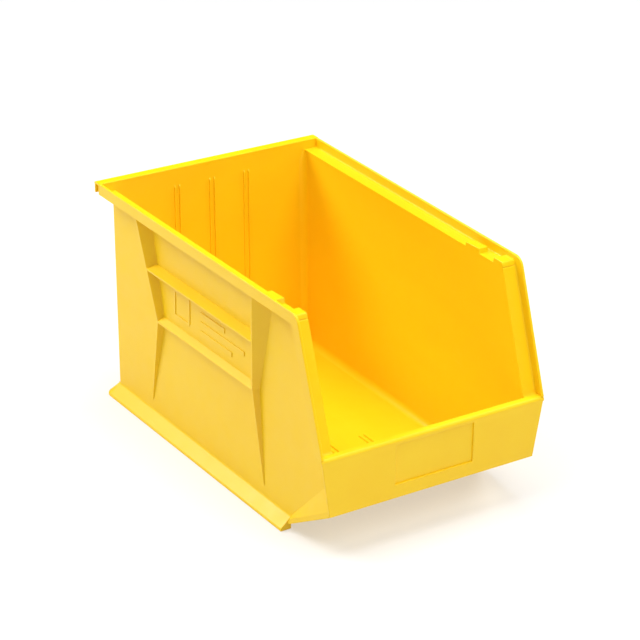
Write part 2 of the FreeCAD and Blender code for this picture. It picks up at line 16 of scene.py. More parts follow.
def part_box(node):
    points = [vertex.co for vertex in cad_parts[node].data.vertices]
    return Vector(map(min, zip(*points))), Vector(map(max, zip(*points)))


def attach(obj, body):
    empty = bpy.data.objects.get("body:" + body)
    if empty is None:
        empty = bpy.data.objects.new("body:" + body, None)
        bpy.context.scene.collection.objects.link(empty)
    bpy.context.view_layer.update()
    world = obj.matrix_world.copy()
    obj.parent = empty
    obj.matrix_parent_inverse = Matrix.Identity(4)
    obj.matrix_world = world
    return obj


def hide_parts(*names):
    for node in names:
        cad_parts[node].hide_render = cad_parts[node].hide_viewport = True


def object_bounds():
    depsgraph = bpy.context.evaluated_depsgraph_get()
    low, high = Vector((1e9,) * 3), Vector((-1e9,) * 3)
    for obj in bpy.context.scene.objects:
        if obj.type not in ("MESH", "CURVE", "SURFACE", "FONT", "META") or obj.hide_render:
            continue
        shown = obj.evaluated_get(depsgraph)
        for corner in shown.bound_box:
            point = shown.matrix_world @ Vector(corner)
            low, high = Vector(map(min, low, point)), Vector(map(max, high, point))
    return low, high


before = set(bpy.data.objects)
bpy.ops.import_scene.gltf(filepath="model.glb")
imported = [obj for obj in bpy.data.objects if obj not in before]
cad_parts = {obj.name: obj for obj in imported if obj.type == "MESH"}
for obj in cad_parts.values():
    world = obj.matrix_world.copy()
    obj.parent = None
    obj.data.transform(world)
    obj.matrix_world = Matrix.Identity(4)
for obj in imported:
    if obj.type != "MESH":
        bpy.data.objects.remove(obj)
CAD_BOX = [list(corner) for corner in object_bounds()]

bl_info = {
    "name": "Storage Bin Finish",
    "version": (1, 0, 0),
    "blender": (4, 5, 0),
    "location": "3D View > Sidebar > Storage Bin",
    "description": "Rounds, finishes and stages a moulded storage bin",
    "category": "Object",
}

BODY = "root"
MM = 0.001

# how edges are told apart
WELD = MM / 1000                            # points closer than this are one
FLAT = math.radians(0.4)                    # faces that meet at less lie in one plane
SHARP = math.radians(32)                    # faces that meet at more have an edge between them
TOUCH = 0.25 * MM                           # how far off an edge a neighbour is looked for
EDGE_SAMPLES = 7
FREE_SHARE = 0.6                            # an edge is free when more of its samples than this are
SLANT = Vector((0.3713, 0.2491, 0.8945))    # in line with no face of the bin
MOST_CROSSINGS = 64
PAST_A_FACE = MM / 500

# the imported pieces
TUB = ("floor_panel", "floor_ramp", "back_wall", "left_side_wall", "right_side_wall")
COVES = ("left_floor_cove", "right_floor_cove", "rear_floor_cove")
RIM = ("left_outer_lip", "right_outer_lip", "hanger_flange", "hanger_lip")
LEDGES = ("left_stacking_ledge", "right_stacking_ledge")
STOPS = ("left_stacking_wedge", "right_stacking_wedge", "left_stacking_nose", "right_stacking_nose")
FRONT = ("front_panel", "front_flange", "left_corner_flare", "right_corner_flare")
BASE = (
    "left_base_rail", "right_base_rail", "rear_base_rail", "left_base_corner",
    "right_base_corner", "left_rail_end", "right_rail_end",
)
STIFFENING = (
    "left_rear_gusset", "right_rear_gusset", "left_front_gusset", "right_front_gusset",
    "left_upper_side_rib", "right_upper_side_rib", "left_lower_side_rib", "right_lower_side_rib",
)
MARKS = ("left_badge_frame", "left_mark_bars")
BACK_RIBS = ("left_back_rib_pair", "middle_back_rib_pair", "right_back_rib_pair")
FLOOR_RIBS = ("left_floor_rib_pair", "middle_floor_rib_pair", "right_floor_rib_pair")

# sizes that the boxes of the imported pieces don't give
BIN_DEPTH = CAD_BOX[1][1] - CAD_BOX[0][1]
BIN_HEIGHT = CAD_BOX[1][2]
NARROWING = 5 * MM                          # of each side, from the rear to the front
LEAN = 8.5 * MM                             # of the back wall, over the bin's height
WALL = 2.5 * MM
WALL_INSET = 16.2 * MM                      # from the outer lip to the side wall
LIP = 3 * MM
LEDGE_THICKNESS = 2 * MM
SLOPE_RUN = 48.5 * MM                       # of the sloped front edges, along the bin
RAIL_INSET = 3.8 * MM
RAIL_EDGE = 2.8 * MM

# soft corners and ribs
BAR_SINK = MM / 2                           # how deep a corner bar's back lies in the corner
SHOULDER_FADE = 12 * MM                     # where an upright corner turns tight under the ledge
RIM_END_RISE = 3 * MM                       # where the rim's corner ends above the front flange
SKIRT_TIMES = 2                             # the skirt's corner, in roots
CREASE_TIMES = 4                            # the crease of the ramp, in inside corners
RIB_FADE = 1.5                              # length of a rib's run-out, in rib widths
RIB_SWELL = ((0.0, 0.15), (0.5, 0.8), (1.0, 1.0))    # along the run-out: place, share of the height
RIB_SECTION = (                             # across: in rib widths, and up: in rib heights
    (-0.5, -0.25), (-0.5, 0.0), (-0.45, 0.5), (-0.4, 0.85), (-0.3, 1.0),
    (0.3, 1.0), (0.4, 0.85), (0.45, 0.5), (0.5, 0.0), (0.5, -0.25),
)

# the stage
FLOOR_REACH = 40.0
LAMP_AIM = Vector((0, 0, 0.1))
LAMPS = (                                   # name, place, size, share of the power
    ("overhead", (0, 0, 3.0), 2.5, 0.285),
    ("left_window", (-1.6, -0.2, 2.6), 1.6, 0.075),
    ("right_window", (2.6, -0.2, 1.8), 1.5, 0.205),
    ("rear_left", (-1.6, 1.8, 2.0), 1.5, 0.265),
    ("front_softbox", (0.2, -2.0, 2.1), 1.6, 0.17),
)


# ------------------------------------------------------------------ sizes and colours
class PlasticSettings(bpy.types.PropertyGroup):
    colour: FloatVectorProperty(
        name="Colour", description="Colour of the plastic", subtype="COLOR",
        default=(0.945, 0.62, 0.006), min=0, max=1)
    deep_colour: FloatVectorProperty(
        name="Deep colour", description="Colour where the pigment is densest", subtype="COLOR",
        default=(0.93, 0.58, 0.004), min=0, max=1)
    worn_colour: FloatVectorProperty(
        name="Worn colour", description="Colour of rubbed edges and scuffs", subtype="COLOR",
        default=(0.96, 0.72, 0.07), min=0, max=1)
    roughness: FloatProperty(
        name="Roughness", description="Roughness of the moulded skin", subtype="FACTOR",
        default=0.42, min=0, max=1)


class EdgeSettings(bpy.types.PropertyGroup):
    shell_radius: FloatProperty(
        name="Shell edges", description="Rounding of the tub's own edges", default=0.9 * MM, unit="LENGTH")
    rim_radius: FloatProperty(
        name="Rim edges", description="Rounding of the lips and ledges", default=0.8 * MM, unit="LENGTH")
    rib_radius: FloatProperty(
        name="Rib edges", description="Rounding of thin webs and ribs", default=0.7 * MM, unit="LENGTH")
    mark_radius: FloatProperty(
        name="Mark edges", description="Rounding of raised marks", default=0.2 * MM, unit="LENGTH")
    segments: IntProperty(name="Segments", description="Steps across a rounded edge", default=3, min=1, max=6)


class CornerSettings(bpy.types.PropertyGroup):
    inside_radius: FloatProperty(
        name="Inside corners", description="Radius of the corners inside the tub",
        default=8 * MM, unit="LENGTH")
    root_radius: FloatProperty(
        name="Roots", description="Radius where ribs and lips leave a wall", default=1.6 * MM, unit="LENGTH")
    steps: IntProperty(name="Steps", description="Steps across a soft corner", default=8, min=2, max=24)


class DividerSettings(bpy.types.PropertyGroup):
    pitch: FloatProperty(
        name="Pitch", description="Distance from one rib pair to the next", default=44.2 * MM, unit="LENGTH")
    gap: FloatProperty(
        name="Gap", description="Distance between the two ribs of a pair", default=6 * MM, unit="LENGTH")
    width: FloatProperty(name="Width", description="Width of one rib", default=1.9 * MM, unit="LENGTH")
    height: FloatProperty(
        name="Height", description="How proud a rib stands", default=1.6 * MM, unit="LENGTH")
    pairs: IntProperty(name="Pairs", description="Rib pairs across the bin", default=3, min=1, max=9)


class StageSettings(bpy.types.PropertyGroup):
    azimuth: FloatProperty(
        name="Azimuth", description="Camera direction about the vertical",
        default=math.radians(-33.09), subtype="ANGLE")
    elevation: FloatProperty(
        name="Elevation", description="Camera height angle", default=math.radians(25.14), subtype="ANGLE")
    roll: FloatProperty(
        name="Roll", description="Camera turn about its own axis",
        default=math.radians(0.94), subtype="ANGLE")
    distance: FloatProperty(
        name="Distance", description="Camera to target", default=2.5846, unit="LENGTH")
    target_forward: FloatProperty(
        name="Target forward", description="Target in front of the bin's middle",
        default=0.011, unit="LENGTH")
    target_height: FloatProperty(
        name="Target height", description="Height of the target, as a share of the bin's own",
        default=0.59)
    lens: FloatProperty(
        name="Lens", description="Focal length in millimetres", default=138.2, unit="CAMERA")
    floor_colour: FloatVectorProperty(
        name="Floor colour", description="Colour of the floor", subtype="COLOR",
        default=(0.45, 0.45, 0.447), min=0, max=1)
    floor_glow: FloatProperty(
        name="Floor glow", description="Strength of the floor's own even light", default=0.45)
    power: FloatProperty(
        name="Power", description="Power of all the lamps together, in watts", default=222.0, unit="POWER")
    sky: FloatProperty(name="Sky", description="Strength of the even light from all round", default=0.02)


# ------------------------------------------------------------------ shader groups
def new_group(name, inputs, outputs):
    """A shader node group with float, colour or vector sockets and its two end nodes."""
    tree = bpy.data.node_groups.new(name, "ShaderNodeTree")
    kinds = {"f": "NodeSocketFloat", "c": "NodeSocketColor", "v": "NodeSocketVector"}
    for label, kind, value in inputs:
        socket = tree.interface.new_socket(label, in_out="INPUT", socket_type=kinds[kind])
        if value is not None:
            socket.default_value = value
    for label, kind in outputs:
        tree.interface.new_socket(label, in_out="OUTPUT", socket_type=kinds[kind])
    return tree, tree.nodes.new("NodeGroupInput"), tree.nodes.new("NodeGroupOutput")


def noise(tree, place, scale, detail=2.0, roughness=0.5):
    """A noise texture; scale is a number or a socket that gives it."""
    node = tree.nodes.new("ShaderNodeTexNoise")
    node.inputs["Detail"].default_value = detail
    node.inputs["Roughness"].default_value = roughness
    tree.links.new(place, node.inputs["Vector"])
    if isinstance(scale, (int, float)):
        node.inputs["Scale"].default_value = scale
    else:
        tree.links.new(scale, node.inputs["Scale"])
    return node.outputs["Fac"]


def combined(tree, operation, first, second):
    """Two values through a Math node; each is a number or a socket."""
    node = tree.nodes.new("ShaderNodeMath")
    node.operation = operation
    for socket, value in zip(node.inputs, (first, second)):
        if isinstance(value, (int, float)):
            socket.default_value = value
        else:
            tree.links.new(value, socket)
    return node.outputs[0]


def spread(tree, value, low, high, out_low=0.0, out_high=1.0):
    """Map a range onto another, clamped."""
    node = tree.nodes.new("ShaderNodeMapRange")
    node.clamp = True
    tree.links.new(value, node.inputs["Value"])
    for label, number in (("From Min", low), ("From Max", high), ("To Min", out_low), ("To Max", out_high)):
        node.inputs[label].default_value = number
    return node.outputs["Result"]


def mapped(tree, place, scale, rotation=(0.0, 0.0, 0.0)):
    """The place, turned and stretched."""
    node = tree.nodes.new("ShaderNodeMapping")
    node.inputs["Rotation"].default_value = rotation
    node.inputs["Scale"].default_value = scale
    tree.links.new(place, node.inputs["Vector"])
    return node.outputs["Vector"]


def blended(tree, amount, first, second):
    """One colour over another; the second is a colour or a socket."""
    node = tree.nodes.new("ShaderNodeMix")
    node.data_type = "RGBA"
    tree.links.new(amount, node.inputs["Factor"])
    tree.links.new(first, node.inputs["A"])
    if isinstance(second, bpy.types.NodeSocket):
        tree.links.new(second, node.inputs["B"])
    else:
        node.inputs["B"].default_value = second
    return node.outputs["Result"]


def grain_group():
    """The fine spark-eroded grain of the mould, over a faint waviness of the wall."""
    tree, start, end = new_group(
        "mould_grain", (("Place", "v", None), ("Grain", "f", 2600.0), ("Wave", "f", 0.5)),
        (("Height", "f"),))
    place = start.outputs["Place"]
    fine = noise(tree, place, start.outputs["Grain"], detail=3.0, roughness=0.6)
    wave = noise(tree, place, scale=26.0)
    slow = combined(tree, "MULTIPLY", wave, start.outputs["Wave"])
    tree.links.new(combined(tree, "ADD", fine, slow), end.inputs["Height"])
    return tree


def pigment_group():
    """Pigment that is never quite even: soft clouds and faint flow streaks."""
    tree, start, end = new_group(
        "pigment", (("Place", "v", None), ("Colour", "c", None), ("Deep", "c", None)), (("Colour", "c"),))
    place = start.outputs["Place"]
    cloud = noise(tree, mapped(tree, place, scale=(1.0, 0.35, 1.0)), scale=11.0, detail=3.0, roughness=0.55)
    fleck = noise(tree, place, scale=420.0)
    cloud_share, fleck_share = 0.8, 0.2
    both = combined(
        tree, "ADD", combined(tree, "MULTIPLY", cloud, cloud_share),
        combined(tree, "MULTIPLY", fleck, fleck_share))
    amount = spread(tree, both, low=0.36, high=0.66)
    colour = blended(tree, amount, start.outputs["Colour"], start.outputs["Deep"])
    tree.links.new(colour, end.inputs["Colour"])
    return tree


def scuff_group():
    """Thin rub marks from stacking and from parts dragged along the walls."""
    tree, start, end = new_group("scuffs", (("Place", "v", None), ("Amount", "f", 0.3)), (("Mask", "f"),))
    place = start.outputs["Place"]
    drawn_out = mapped(tree, place, scale=(1.0, 0.09, 1.0), rotation=(0.25, 0.1, 0.35))
    streaks = noise(tree, drawn_out, scale=340.0, detail=4.0, roughness=0.62)
    line = spread(tree, streaks, low=0.63, high=0.74)
    patch = spread(tree, noise(tree, place, scale=17.0), low=0.50, high=0.68)
    both = combined(tree, "MULTIPLY", line, patch)
    tree.links.new(combined(tree, "MULTIPLY", both, start.outputs["Amount"]), end.inputs["Mask"])
    return tree


def use_group(tree, group, place, **values):
    """Place a group and set its inputs by name."""
    node = tree.nodes.new("ShaderNodeGroup")
    node.node_tree = group
    tree.links.new(place, node.inputs["Place"])
    for label, value in values.items():
        node.inputs[label].default_value = value
    return node.outputs[0]


def plastic(name, settings, grain, depth, scuffs, shine):
    """The yellow plastic with the grain, the rub marks and the shine of one part of the mould."""
    material = bpy.data.materials.new(name)
    material.use_nodes = True
    tree = material.node_tree
    shader = tree.nodes["Principled BSDF"]
    place = tree.nodes.new("ShaderNodeTexCoord").outputs["Object"]
    groups = bpy.data.node_groups
    body = use_group(
        tree, groups["pigment"], place, Colour=(*settings.colour, 1), Deep=(*settings.deep_colour, 1))
    mask = use_group(tree, groups["scuffs"], place, Amount=scuffs)
    tree.links.new(blended(tree, mask, body, (*settings.worn_colour, 1)), shader.inputs["Base Color"])
    base = settings.roughness - shine
    smoother, rougher, rubbed = 0.04, 0.05, 0.16
    uneven = spread(
        tree, noise(tree, place, scale=60.0, detail=3.0), low=0.3, high=0.7,
        out_low=base - smoother, out_high=base + rougher)
    rub = combined(tree, "MULTIPLY", mask, rubbed)
    tree.links.new(combined(tree, "ADD", uneven, rub), shader.inputs["Roughness"])
    bump = tree.nodes.new("ShaderNodeBump")
    bump.inputs["Strength"].default_value = 1.0
    bump.inputs["Distance"].default_value = depth
    height = use_group(tree, groups["mould_grain"], place, Grain=grain)
    tree.links.new(height, bump.inputs["Height"])
    tree.links.new(bump.outputs["Normal"], shader.inputs["Normal"])
    shader.inputs["IOR"].default_value = 1.49
    shader.inputs["Specular IOR Level"].default_value = 0.38
    return material


# ------------------------------------------------------------------ mesh helpers
def add_piece(name, mesh, material, *nodes):
    """Put a finished mesh in the scene, on the bin's one body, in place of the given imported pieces."""
    piece = bpy.data.objects.new(name, mesh)
    bpy.context.scene.collection.objects.link(piece)
    mesh.materials.clear()
    mesh.materials.append(bpy.data.materials[material])
    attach(piece, BODY)
    if nodes:
        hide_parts(*nodes)
    return piece


def welded(node):
    """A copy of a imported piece, its loose triangles joined."""
    work = bmesh.new()
    work.from_mesh(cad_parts[node].data)
    bmesh.ops.remove_doubles(work, verts=work.verts, dist=WELD)
    return work


class Neighbours:
    """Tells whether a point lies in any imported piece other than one."""

    def __init__(self):
        self.solids = {}
        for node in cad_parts:
            low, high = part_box(node)
            work = welded(node)
            self.solids[node] = (low, high, BVHTree.FromBMesh(work))
            work.free()

    def filled(self, point, apart_from):
        for node, (low, high, tree) in self.solids.items():
            if node == apart_from or any(point[i] < low[i] or point[i] > high[i] for i in range(3)):
                continue
            if self.inside(tree, point):
                return True
        return False

    @staticmethod
    def inside(tree, point):
        """Count the faces along a slanted ray; an odd count is inside."""
        crossings = 0
        start = point
        while crossings < MOST_CROSSINGS:
            spot = tree.ray_cast(start, SLANT)[0]
            if spot is None:
                break
            crossings += 1
            start = spot + SLANT * PAST_A_FACE
        return crossings % 2 == 1


def is_free(edge, node, neighbours):
    """True where no other piece meets the edge, or continues one of its faces."""
    first, second = (face.normal for face in edge.link_faces)
    outward = (first + second, first - second, second - first)
    ends = [vertex.co for vertex in edge.verts]
    clear = 0
    for index in range(EDGE_SAMPLES):
        sample = ends[0].lerp(ends[1], (index + 0.5) / EDGE_SAMPLES)
        clear += not any(neighbours.filled(sample + way * TOUCH, node) for way in outward)
    return clear / EDGE_SAMPLES > FREE_SHARE


def round_free_edges(work, node, neighbours, radius, segments):
    """Bevel the convex edges that show, and leave the flush joints as they are."""
    work.normal_update()
    picked = [
        edge for edge in work.edges
        if len(edge.link_faces) == 2 and edge.is_convex and edge.calc_face_angle(0) > SHARP
        and is_free(edge, node, neighbours)
    ]
    if picked:
        bmesh.ops.bevel(
            work, geom=picked, offset=radius, offset_type="OFFSET", segments=segments, profile=0.5,
            affect="EDGES", clamp_overlap=True, material=-1, loop_slide=True)


def plain_mesh(holder):
    """The mesh that a holder's modifiers make; the holder and its own mesh go."""
    graph = bpy.context.evaluated_depsgraph_get()
    result = bpy.data.meshes.new_from_object(holder.evaluated_get(graph), depsgraph=graph)
    mesh = holder.data
    bpy.data.objects.remove(holder)
    bpy.data.meshes.remove(mesh)
    return result


def shaded(work, name):
    """The mesh, smooth except at its sharp edges, with the flat faces kept flat."""
    work.normal_update()
    for face in work.faces:
        face.smooth = True
    for edge in work.edges:
        edge.smooth = len(edge.link_faces) == 2 and edge.calc_face_angle(0) < SHARP
    mesh = bpy.data.meshes.new(name)
    work.to_mesh(mesh)
    work.free()
    holder = bpy.data.objects.new(name + "_shading", mesh)
    bpy.context.scene.collection.objects.link(holder)
    holder.modifiers.new("flat", "WEIGHTED_NORMAL").keep_sharp = True
    return plain_mesh(holder)


def finish_nodes(nodes, material, radius, segments):
    """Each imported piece, rounded where it shows."""
    neighbours = Neighbours()
    for node in nodes:
        work = welded(node)
        bmesh.ops.dissolve_limit(work, angle_limit=FLAT, verts=work.verts, edges=work.edges)
        round_free_edges(work, node, neighbours, radius, segments)
        add_piece(node + "_moulded", shaded(work, node + "_moulded"), material, node)


def side_point(inset, along, height, side):
    """A place on the left (-1) or right (1) side, inset from the outer lip, along from the rear forwards."""
    half = CAD_BOX[1][0]
    turn = math.atan(NARROWING / BIN_DEPTH)
    x = -half + inset * math.cos(turn) + along * math.sin(turn)
    y = BIN_DEPTH / 2 + inset * math.sin(turn) - along * math.cos(turn)
    return Vector((-side * x, y, height))


def skinned(rings):
    """A closed tube over rings of points."""
    work = bmesh.new()
    rings = [[work.verts.new(point) for point in ring] for ring in rings]
    count = len(rings[0])
    for near, far in zip(rings, rings[1:]):
        for index in range(count):
            following = (index + 1) % count
            work.faces.new((near[index], near[following], far[following], far[index]))
    work.faces.new(rings[0])
    work.faces.new(reversed(rings[-1]))
    bmesh.ops.recalc_face_normals(work, faces=work.faces)
    return work


def corner_bar(name, path, first_ways, second_ways, radii, steps, material):
    """A bar that fills an inside corner along a path, up to a hollow arc between the two ways."""
    rings = []
    for spot, first, second, radius in zip(path, first_ways, second_ways, radii):
        first = first.normalized()
        second = second.normalized()
        opening = first.angle(second)
        reach = radius / math.tan(opening / 2)
        centre = spot + (first + second).normalized() * radius / math.sin(opening / 2)
        start = spot + first * reach - centre
        normal = start.cross(spot + second * reach - centre).normalized()
        turn = math.pi - opening
        ring = [spot - (first + second).normalized() * BAR_SINK]
        for step in range(steps + 1):
            ring.append(centre + Matrix.Rotation(turn * step / steps, 3, normal) @ start)
        rings.append(ring)
    add_piece(name, shaded(skinned(rings), name), material)


def straight_corner(name, start, end, first, second, radius, steps, material="wall_plastic"):
    """A corner bar along one straight stretch."""
    corner_bar(name, (start, end), (first, first), (second, second), (radius, radius), steps, material)


def low_rib(path, across, out, width, proud):
    """The mesh of a low rib with drafted flanks and rounded shoulders, that fades out at both ends."""
    start, end = path
    fade = RIB_FADE * width / (end - start).length
    stations = [(place * fade, swell) for place, swell in RIB_SWELL]
    stations += [(1 - place, swell) for place, swell in reversed(stations)]
    rings = []
    for place, swell in stations:
        middle = start.lerp(end, place)
        rings.append([
            middle + across * width * sideways + out * proud * rise * (swell if rise > 0 else 1)
            for sideways, rise in RIB_SECTION
        ])
    return skinned(rings)


def pair_tree():
    """Geometry nodes that repeat a rib in evenly spaced pairs across the bin."""
    tree = bpy.data.node_groups.new("ribs_in_pairs", "GeometryNodeTree")
    face = tree.interface
    face.new_socket("Rib", in_out="INPUT", socket_type="NodeSocketGeometry")
    for label, kind in (("Pairs", "Int"), ("Pitch", "Float"), ("Gap", "Float"), ("Plastic", "Material")):
        face.new_socket(label, in_out="INPUT", socket_type="NodeSocket" + kind)
    face.new_socket("Ribs", in_out="OUTPUT", socket_type="NodeSocketGeometry")
    nodes, link = tree.nodes, tree.links.new
    start, end = nodes.new("NodeGroupInput"), nodes.new("NodeGroupOutput")

    def row(count, step):
        """Points along X, centred on the bin's middle."""
        line = nodes.new("GeometryNodeMeshLine")
        line.mode = "OFFSET"
        spacing = nodes.new("ShaderNodeCombineXYZ")
        link(step, spacing.inputs["X"])
        link(spacing.outputs[0], line.inputs["Offset"])
        gaps = nodes.new("ShaderNodeMath")
        gaps.operation = "SUBTRACT"
        gaps.inputs[1].default_value = 1.0
        if isinstance(count, int):
            line.inputs["Count"].default_value = count
            gaps.inputs[0].default_value = count
        else:
            link(count, line.inputs["Count"])
            link(count, gaps.inputs[0])
        span = nodes.new("ShaderNodeMath")
        span.operation = "MULTIPLY"
        link(gaps.outputs[0], span.inputs[0])
        link(step, span.inputs[1])
        back = nodes.new("ShaderNodeMath")
        back.operation = "MULTIPLY"
        back.inputs[1].default_value = -0.5
        link(span.outputs[0], back.inputs[0])
        first = nodes.new("ShaderNodeCombineXYZ")
        link(back.outputs[0], first.inputs["X"])
        link(first.outputs[0], line.inputs["Start Location"])
        return line.outputs["Mesh"]

    def repeat(points, shape):
        copies = nodes.new("GeometryNodeInstanceOnPoints")
        link(points, copies.inputs["Points"])
        link(shape, copies.inputs["Instance"])
        return copies.outputs["Instances"]

    pair = repeat(row(2, start.outputs["Gap"]), start.outputs["Rib"])
    pairs = repeat(row(start.outputs["Pairs"], start.outputs["Pitch"]), pair)
    real = nodes.new("GeometryNodeRealizeInstances")
    link(pairs, real.inputs["Geometry"])
    paint = nodes.new("GeometryNodeSetMaterial")
    link(real.outputs["Geometry"], paint.inputs["Geometry"])
    link(start.outputs["Plastic"], paint.inputs["Material"])
    link(paint.outputs["Geometry"], end.inputs["Ribs"])
    return tree


def repeated_ribs(name, rib, settings, nodes):
    """Ribs in pairs, made plain meshes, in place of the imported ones."""
    holder = bpy.data.objects.new(name + "_rib", shaded(rib, name + "_rib"))
    bpy.context.scene.collection.objects.link(holder)
    repeater = holder.modifiers.new("pairs", "NODES")
    repeater.node_group = bpy.data.node_groups["ribs_in_pairs"]
    values = {
        "Pairs": settings.pairs,
        "Pitch": settings.pitch,
        "Gap": settings.gap,
        "Plastic": bpy.data.materials["wall_plastic"],
    }
    for item in repeater.node_group.interface.items_tree:
        if item.name in values:
            repeater[item.identifier] = values[item.name]
    result = plain_mesh(holder)
    result.name = name
    add_piece(name, result, "wall_plastic", *nodes)


# ------------------------------------------------------------------ operators
class BIN_OT_plastics(bpy.types.Operator):
    """Make the plastic's shared node groups and its materials"""

    bl_idname = "storage_bin.plastics"
    bl_label = "Plastics"

    def execute(self, context):
        for group in (grain_group, pigment_group, scuff_group):
            group()
        settings = context.scene.bin_plastic
        plastic("wall_plastic", settings, grain=1900.0, depth=0.035 * MM, scuffs=0.35, shine=0.02)
        plastic("rim_plastic", settings, grain=2600.0, depth=0.02 * MM, scuffs=0.55, shine=0.08)
        plastic("rib_plastic", settings, grain=2300.0, depth=0.025 * MM, scuffs=0.3, shine=0.04)
        plastic("mark_plastic", settings, grain=3000.0, depth=0.01 * MM, scuffs=0.2, shine=0.1)
        return {"FINISHED"}


class BIN_OT_tub(bpy.types.Operator):
    """Finish the floor, the ramp and the walls"""

    bl_idname = "storage_bin.tub"
    bl_label = "Tub"

    def execute(self, context):
        edges = context.scene.bin_edges
        finish_nodes(TUB + COVES, "wall_plastic", edges.shell_radius, edges.segments)
        return {"FINISHED"}


class BIN_OT_rim(bpy.types.Operator):
    """Finish the lips, the ledges with their stops, and the rear hanger"""

    bl_idname = "storage_bin.rim"
    bl_label = "Rim"

    def execute(self, context):
        edges = context.scene.bin_edges
        finish_nodes(RIM + LEDGES + STOPS, "rim_plastic", edges.rim_radius, edges.segments)
        return {"FINISHED"}


class BIN_OT_front(bpy.types.Operator):
    """Finish the front panel, its flange and the flared corners"""

    bl_idname = "storage_bin.front"
    bl_label = "Front"

    def execute(self, context):
        edges = context.scene.bin_edges
        finish_nodes(FRONT, "wall_plastic", edges.rim_radius, edges.segments)
        return {"FINISHED"}


class BIN_OT_base(bpy.types.Operator):
    """Finish the skirts that the bin stands on"""

    bl_idname = "storage_bin.base"
    bl_label = "Base"

    def execute(self, context):
        edges = context.scene.bin_edges
        finish_nodes(BASE, "rim_plastic", edges.rim_radius, edges.segments)
        return {"FINISHED"}


class BIN_OT_stiffening(bpy.types.Operator):
    """Finish the webs and ribs outside the side walls"""

    bl_idname = "storage_bin.stiffening"
    bl_label = "Side stiffening"

    def execute(self, context):
        edges = context.scene.bin_edges
        finish_nodes(STIFFENING, "rib_plastic", edges.rib_radius, edges.segments)
        return {"FINISHED"}


class BIN_OT_soft_corners(bpy.types.Operator):
    """Fill the inside corners of the tub, the rim and the base to a radius"""

    bl_idname = "storage_bin.soft_corners"
    bl_label = "Soft corners"

    def execute(self, context):
        settings = context.scene.bin_corners
        wide, small, steps = settings.inside_radius, settings.root_radius, settings.steps
        walls = self.places()
        inner, outer = WALL_INSET + WALL, WALL_INSET
        up = Vector((0, 0, 1))
        back = Vector((0, 1, 0))
        climb = (walls["ramp_end"] - walls["ramp_start"]).normalized()
        for side, name in ((-1, "left"), (1, "right")):
            inwards = Vector((-side, 0, 0))

            def spot(inset, place):
                return side_point(inset, BIN_DEPTH / 2 - place.y, place.z, side)

            upright = [spot(inner, walls[key]) for key in ("back_foot", "back_shoulder", "back_top")]
            corner_bar(
                name + "_upright_corner", upright, (inwards,) * len(upright), (-back,) * len(upright),
                (wide, wide, small), steps, "wall_plastic")
            straight_corner(
                name + "_ramp_corner", spot(inner, walls["ramp_start"]), spot(inner, walls["ramp_end"]),
                inwards, climb.cross(Vector((1, 0, 0))), wide, steps)
            straight_corner(
                name + "_front_corner", spot(inner, walls["ramp_end"]), spot(inner, walls["front_top"]),
                inwards, back, wide, steps)
            skirt_edge = spot(RAIL_INSET, walls["rail_edge"])
            slope = (skirt_edge - spot(outer, walls["rail_rear"])).normalized()
            straight_corner(
                name + "_skirt_corner", spot(outer, walls["rail_rear"]), spot(outer, walls["rail_front"]),
                up, slope, small * SKIRT_TIMES, steps, "rim_plastic")
            rim = [spot(LIP, place) for place in walls["rim_path"]]
            fronts = (up, up, walls["slope_out"], walls["slope_out"])
            corner_bar(
                name + "_rim_corner", rim, (inwards,) * len(rim), fronts, (small,) * len(rim),
                steps, "rim_plastic")
        for name, place, first, second, radius in (
                ("ramp_front_corner", walls["ramp_end"], up, -climb, wide),
                ("floor_ramp_corner", walls["ramp_start"], back, climb, wide * CREASE_TIMES)):
            reach = side_point(inner, BIN_DEPTH / 2 - place.y, 0, 1).x
            sideways = Vector((reach, 0, 0))
            straight_corner(name, place - sideways, place + sideways, first, second, radius, steps)
        return {"FINISHED"}

    def places(self):
        """Where the corners run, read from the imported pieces."""
        floor_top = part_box("floor_panel")[1].z
        ramp_low, ramp_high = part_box("floor_ramp")
        rail_low, rail_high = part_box("left_base_rail")
        flange_low, flange_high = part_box("front_flange")
        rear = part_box("hanger_flange")[0].y
        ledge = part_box("left_side_wall")[1].z + LEDGE_THICKNESS
        slope = Vector((0, -SLOPE_RUN, flange_high.z - BIN_HEIGHT)).normalized()
        slope_out = Vector((0, slope.z, -slope.y))
        slope_start = Vector((0, CAD_BOX[0][1] + SLOPE_RUN, BIN_HEIGHT))
        line = slope_start - slope_out * (BIN_HEIGHT - ledge)
        bend = line + slope * ((ledge - line.z) / slope.z)
        foot = line + slope * ((flange_high.z + RIM_END_RISE - line.z) / slope.z)

        def on_back(height):
            return Vector((0, rear - LEAN * (1 - height / BIN_HEIGHT), height))

        return {
            "back_foot": on_back(floor_top),
            "back_shoulder": on_back(ledge - SHOULDER_FADE),
            "back_top": on_back(ledge),
            "ramp_start": Vector((0, ramp_high.y, floor_top)),
            "ramp_end": Vector((0, ramp_low.y, ramp_high.z)),
            "front_top": Vector((0, ramp_low.y, flange_low.z)),
            "rail_rear": Vector((0, rail_high.y, rail_high.z)),
            "rail_front": Vector((0, rail_low.y, rail_high.z)),
            "rail_edge": Vector((0, rail_high.y, RAIL_EDGE)),
            "rim_path": (Vector((0, rear, ledge)), bend + Vector((0, MM, 0)), bend + slope * MM, foot),
            "slope_out": slope_out,
        }


